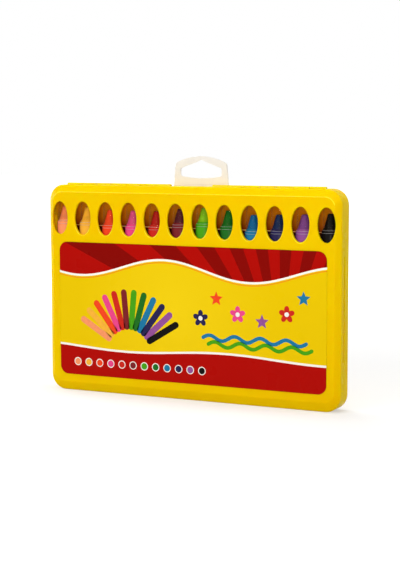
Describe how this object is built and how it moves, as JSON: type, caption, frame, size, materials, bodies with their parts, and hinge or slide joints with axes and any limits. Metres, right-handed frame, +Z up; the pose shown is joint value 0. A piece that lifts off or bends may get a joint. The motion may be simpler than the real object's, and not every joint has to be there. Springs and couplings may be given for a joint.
{
  "type": "twist crayon set",
  "caption": "Flat hinged hanging case with oval windows, holding a row of capped twist crayons whose wax sticks feed out as the rear knob is turned.",
  "frame": {"origin": "middle of the whole part's outline on the surface that the case stands on", "axes": "+Z up, +X to the viewer's right along the row of crayons, -Y towards the viewer"},
  "size_m": [0.223, 0.0198, 0.168],
  "materials": {
    "case_plastic": "satin moulded",
    "tray_plastic": "thin formed sheet",
    "label_print": "gloss print",
    "tab_plastic": "milky translucent",
    "pin_steel": "drawn wire",
    "cap_plastic": "clear moulded",
    "carrier_plastic": "moulded",
    "plastic_peach": "moulded",
    "wax_peach": "cast wax",
    "plastic_amber": "moulded",
    "wax_amber": "cast wax",
    "plastic_vermilion": "moulded",
    "wax_vermilion": "cast wax",
    "plastic_pink": "moulded",
    "wax_pink": "cast wax",
    "plastic_red": "moulded",
    "wax_red": "cast wax",
    "plastic_maroon": "moulded",
    "wax_maroon": "cast wax",
    "plastic_lime": "moulded",
    "wax_lime": "cast wax",
    "plastic_green": "moulded",
    "wax_green": "cast wax",
    "plastic_sky": "moulded",
    "wax_sky": "cast wax",
    "plastic_navy": "moulded",
    "wax_navy": "cast wax",
    "plastic_purple": "moulded",
    "wax_purple": "cast wax",
    "plastic_black": "moulded",
    "wax_black": "cast wax"
  },
  "bodies": {
    "case": {"case_base": "case_plastic", "crayon_tray": "tray_plastic", "hinge_pins": "pin_steel", "clear_caps": "cap_plastic", "barrel_peach": "plastic_peach", "barrel_amber": "plastic_amber", "barrel_vermilion": "plastic_vermilion", "barrel_pink": "plastic_pink", "barrel_red": "plastic_red", "barrel_maroon": "plastic_maroon", "barrel_lime": "plastic_lime", "barrel_green": "plastic_green", "barrel_sky": "plastic_sky", "barrel_navy": "plastic_navy", "barrel_purple": "plastic_purple", "barrel_black": "plastic_black"},
    "lid": {"case_lid": "case_plastic", "label": "label_print"},
    "hang_tab": {"hang_tab": "tab_plastic"},
    "knob_peach": {"knob_peach": "plastic_peach"},
    "stick_peach": {"stick_peach": "wax_peach", "carrier_peach": "carrier_plastic"},
    "knob_amber": {"knob_amber": "plastic_amber"},
    "stick_amber": {"stick_amber": "wax_amber", "carrier_amber": "carrier_plastic"},
    "knob_vermilion": {"knob_vermilion": "plastic_vermilion"},
    "stick_vermilion": {"stick_vermilion": "wax_vermilion", "carrier_vermilion": "carrier_plastic"},
    "knob_pink": {"knob_pink": "plastic_pink"},
    "stick_pink": {"stick_pink": "wax_pink", "carrier_pink": "carrier_plastic"},
    "knob_red": {"knob_red": "plastic_red"},
    "stick_red": {"stick_red": "wax_red", "carrier_red": "carrier_plastic"},
    "knob_maroon": {"knob_maroon": "plastic_maroon"},
    "stick_maroon": {"stick_maroon": "wax_maroon", "carrier_maroon": "carrier_plastic"},
    "knob_lime": {"knob_lime": "plastic_lime"},
    "stick_lime": {"stick_lime": "wax_lime", "carrier_lime": "carrier_plastic"},
    "knob_green": {"knob_green": "plastic_green"},
    "stick_green": {"stick_green": "wax_green", "carrier_green": "carrier_plastic"},
    "knob_sky": {"knob_sky": "plastic_sky"},
    "stick_sky": {"stick_sky": "wax_sky", "carrier_sky": "carrier_plastic"},
    "knob_navy": {"knob_navy": "plastic_navy"},
    "stick_navy": {"stick_navy": "wax_navy", "carrier_navy": "carrier_plastic"},
    "knob_purple": {"knob_purple": "plastic_purple"},
    "stick_purple": {"stick_purple": "wax_purple", "carrier_purple": "carrier_plastic"},
    "knob_black": {"knob_black": "plastic_black"},
    "stick_black": {"stick_black": "wax_black", "carrier_black": "carrier_plastic"}
  },
  "joints": [
    {"name": "lid_hinge", "type": "hinge", "parent": "case", "child": "lid", "pos_m": [0, -0.00245, 0.1477], "axis": [-1, 0, 0], "range_deg": [0, 180]},
    {"name": "tab_slide", "type": "slide", "parent": "case", "child": "hang_tab", "axis": [0, 0, 1], "range_m": [-0.0205, 0]},
    {"name": "twist_peach", "type": "hinge", "parent": "case", "child": "knob_peach", "pos_m": [-0.10175, -0.00125, 0.0076], "axis": [0, 0, 1], "range_deg": [-288, 360]},
    {"name": "feed_peach", "type": "slide", "parent": "case", "child": "stick_peach", "axis": [0, 0, 1], "range_m": [-0.0064, 0.008]},
    {"name": "twist_amber", "type": "hinge", "parent": "case", "child": "knob_amber", "pos_m": [-0.08325, -0.00125, 0.0069], "axis": [0, 0, 1], "range_deg": [-288, 360]},
    {"name": "feed_amber", "type": "slide", "parent": "case", "child": "stick_amber", "axis": [0, 0, 1], "range_m": [-0.0064, 0.008]},
    {"name": "twist_vermilion", "type": "hinge", "parent": "case", "child": "knob_vermilion", "pos_m": [-0.06475, -0.00125, 0.0053], "axis": [0, 0, 1], "range_deg": [-288, 360]},
    {"name": "feed_vermilion", "type": "slide", "parent": "case", "child": "stick_vermilion", "axis": [0, 0, 1], "range_m": [-0.0064, 0.008]},
    {"name": "twist_pink", "type": "hinge", "parent": "case", "child": "knob_pink", "pos_m": [-0.04625, -0.00125, 0.005], "axis": [0, 0, 1], "range_deg": [-288, 360]},
    {"name": "feed_pink", "type": "slide", "parent": "case", "child": "stick_pink", "axis": [0, 0, 1], "range_m": [-0.0064, 0.008]},
    {"name": "twist_red", "type": "hinge", "parent": "case", "child": "knob_red", "pos_m": [-0.02775, -0.00125, 0.0051], "axis": [0, 0, 1], "range_deg": [-288, 360]},
    {"name": "feed_red", "type": "slide", "parent": "case", "child": "stick_red", "axis": [0, 0, 1], "range_m": [-0.0064, 0.008]},
    {"name": "twist_maroon", "type": "hinge", "parent": "case", "child": "knob_maroon", "pos_m": [-0.00925, -0.00125, 0.0072], "axis": [0, 0, 1], "range_deg": [-288, 360]},
    {"name": "feed_maroon", "type": "slide", "parent": "case", "child": "stick_maroon", "axis": [0, 0, 1], "range_m": [-0.0064, 0.008]},
    {"name": "twist_lime", "type": "hinge", "parent": "case", "child": "knob_lime", "pos_m": [0.00925, -0.00125, 0.0083], "axis": [0, 0, 1], "range_deg": [-288, 360]},
    {"name": "feed_lime", "type": "slide", "parent": "case", "child": "stick_lime", "axis": [0, 0, 1], "range_m": [-0.0064, 0.008]},
    {"name": "twist_green", "type": "hinge", "parent": "case", "child": "knob_green", "pos_m": [0.02775, -0.00125, 0.0069], "axis": [0, 0, 1], "range_deg": [-288, 360]},
    {"name": "feed_green", "type": "slide", "parent": "case", "child": "stick_green", "axis": [0, 0, 1], "range_m": [-0.0064, 0.008]},
    {"name": "twist_sky", "type": "hinge", "parent": "case", "child": "knob_sky", "pos_m": [0.04625, -0.00125, 0.0043], "axis": [0, 0, 1], "range_deg": [-288, 360]},
    {"name": "feed_sky", "type": "slide", "parent": "case", "child": "stick_sky", "axis": [0, 0, 1], "range_m": [-0.0064, 0.008]},
    {"name": "twist_navy", "type": "hinge", "parent": "case", "child": "knob_navy", "pos_m": [0.06475, -0.00125, 0.005], "axis": [0, 0, 1], "range_deg": [-288, 360]},
    {"name": "feed_navy", "type": "slide", "parent": "case", "child": "stick_navy", "axis": [0, 0, 1], "range_m": [-0.0064, 0.008]},
    {"name": "twist_purple", "type": "hinge", "parent": "case", "child": "knob_purple", "pos_m": [0.08325, -0.00125, 0.0055], "axis": [0, 0, 1], "range_deg": [-288, 360]},
    {"name": "feed_purple", "type": "slide", "parent": "case", "child": "stick_purple", "axis": [0, 0, 1], "range_m": [-0.0064, 0.008]},
    {"name": "twist_black", "type": "hinge", "parent": "case", "child": "knob_black", "pos_m": [0.10175, -0.00125, 0.0064], "axis": [0, 0, 1], "range_deg": [-288, 360]},
    {"name": "feed_black", "type": "slide", "parent": "case", "child": "stick_black", "axis": [0, 0, 1], "range_m": [-0.0064, 0.008]}
  ],
  "couplings": [
    {"joint": "twist_peach", "follows": "feed_peach", "rad_per_m": 785.39},
    {"joint": "twist_amber", "follows": "feed_amber", "rad_per_m": 785.39},
    {"joint": "twist_vermilion", "follows": "feed_vermilion", "rad_per_m": 785.39},
    {"joint": "twist_pink", "follows": "feed_pink", "rad_per_m": 785.39},
    {"joint": "twist_red", "follows": "feed_red", "rad_per_m": 785.39},
    {"joint": "twist_maroon", "follows": "feed_maroon", "rad_per_m": 785.39},
    {"joint": "twist_lime", "follows": "feed_lime", "rad_per_m": 785.39},
    {"joint": "twist_green", "follows": "feed_green", "rad_per_m": 785.39},
    {"joint": "twist_sky", "follows": "feed_sky", "rad_per_m": 785.39},
    {"joint": "twist_navy", "follows": "feed_navy", "rad_per_m": 785.39},
    {"joint": "twist_purple", "follows": "feed_purple", "rad_per_m": 785.39},
    {"joint": "twist_black", "follows": "feed_black", "rad_per_m": 785.39}
  ]
}
